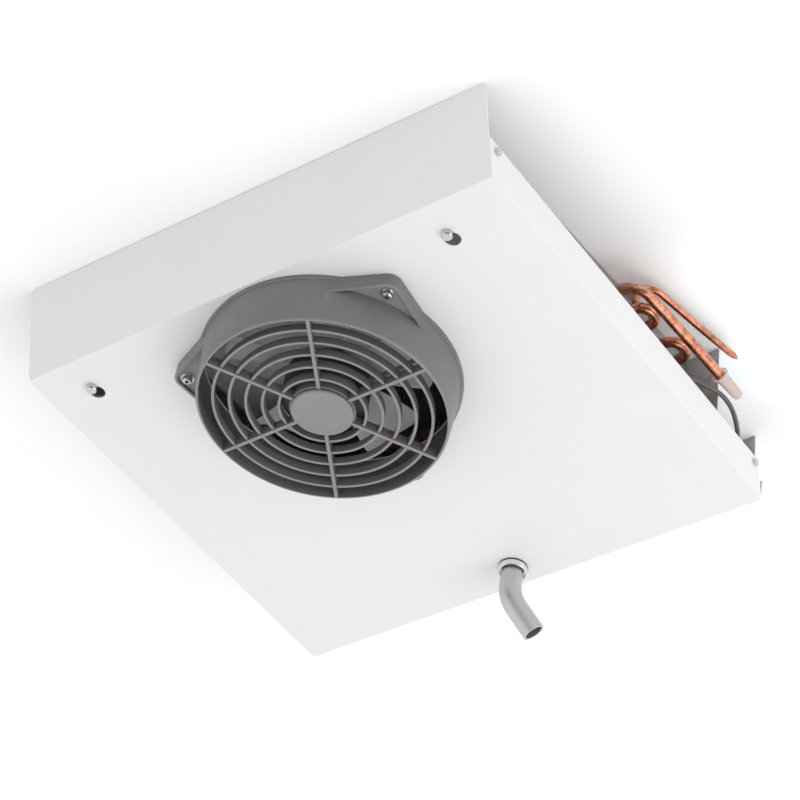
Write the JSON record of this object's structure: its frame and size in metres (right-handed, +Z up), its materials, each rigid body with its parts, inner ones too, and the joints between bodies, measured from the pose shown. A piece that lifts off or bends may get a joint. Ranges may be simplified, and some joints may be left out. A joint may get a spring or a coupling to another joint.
{
  "type": "walk-in unit cooler",
  "caption": "Low-profile ceiling unit cooler: sloped drip pan with a leaning front lip, ducted fan with ring guard, finned coil, copper stubs and drain spout.",
  "frame": {"origin": "centre of the four ceiling screw holes, in the ceiling plane", "axes": "+X along the front lip, towards the side with the copper stubs; +Y to the rear; +Z up into the ceiling"},
  "size_m": [0.5199, 0.4956, 0.1964],
  "materials": {
    "white_steel": "satin white powder coat",
    "galvanised_steel": "hot-dip galvanised sheet",
    "copper_tube": "drawn copper, lightly tarnished",
    "aluminium_fins": "bare rolled aluminium",
    "clear_plastic": "thin translucent polyethylene",
    "guard_plastic": "moulded, fine matt texture",
    "motor_shell": "cast and painted dark grey",
    "motor_iron": "laminated steel",
    "bearing_bronze": "sintered bronze",
    "shaft_steel": "ground steel",
    "blade_plastic": "moulded light grey",
    "zinc_hardware": "bright zinc plate",
    "drain_metal": "satin anodised",
    "black_rubber": "moulded rubber",
    "grey_plastic": "moulded",
    "cable_sheath": "smooth sheath"
  },
  "bodies": {
    "cooler": {"drip_pan": "white_steel", "side_plate_left": "galvanised_steel", "side_plate_right": "galvanised_steel", "side_baffle": "galvanised_steel", "coil_hairpins": "copper_tube", "return_bends": "copper_tube", "suction_line": "copper_tube", "liquid_line": "copper_tube", "fin_pack": "aluminium_fins", "suction_cap": "clear_plastic", "fan_guard": "guard_plastic", "hub_cap": "guard_plastic", "motor_housing": "motor_shell", "motor_end_cover": "motor_shell", "motor_stator": "motor_iron", "bearing_lower": "bearing_bronze", "bearing_upper": "bearing_bronze", "guard_screws": "zinc_hardware", "guard_washers": "zinc_hardware", "guard_nuts": "zinc_hardware", "motor_screws": "zinc_hardware", "keyhole_screws": "zinc_hardware", "keyhole_nuts": "zinc_hardware", "pan_side_screws": "zinc_hardware", "drain_collar": "drain_metal", "drain_locknut": "drain_metal", "drain_spout": "drain_metal", "drain_gasket": "black_rubber", "web_grommet": "black_rubber", "motor_cable_boss": "black_rubber", "terminal_box": "grey_plastic", "terminal_box_lid": "grey_plastic", "cable_gland": "grey_plastic", "power_cable": "cable_sheath"},
    "fan_rotor": {"fan_shaft": "shaft_steel", "rotor_core": "motor_iron", "impeller": "blade_plastic", "impeller_nut": "zinc_hardware"}
  },
  "joints": [
    {"name": "fan_spin", "type": "hinge", "parent": "cooler", "child": "fan_rotor", "pos_m": [0.0075, -0.14129, -0.10121], "axis": [0, 0.0698, 0.9976], "continuous": true}
  ]
}
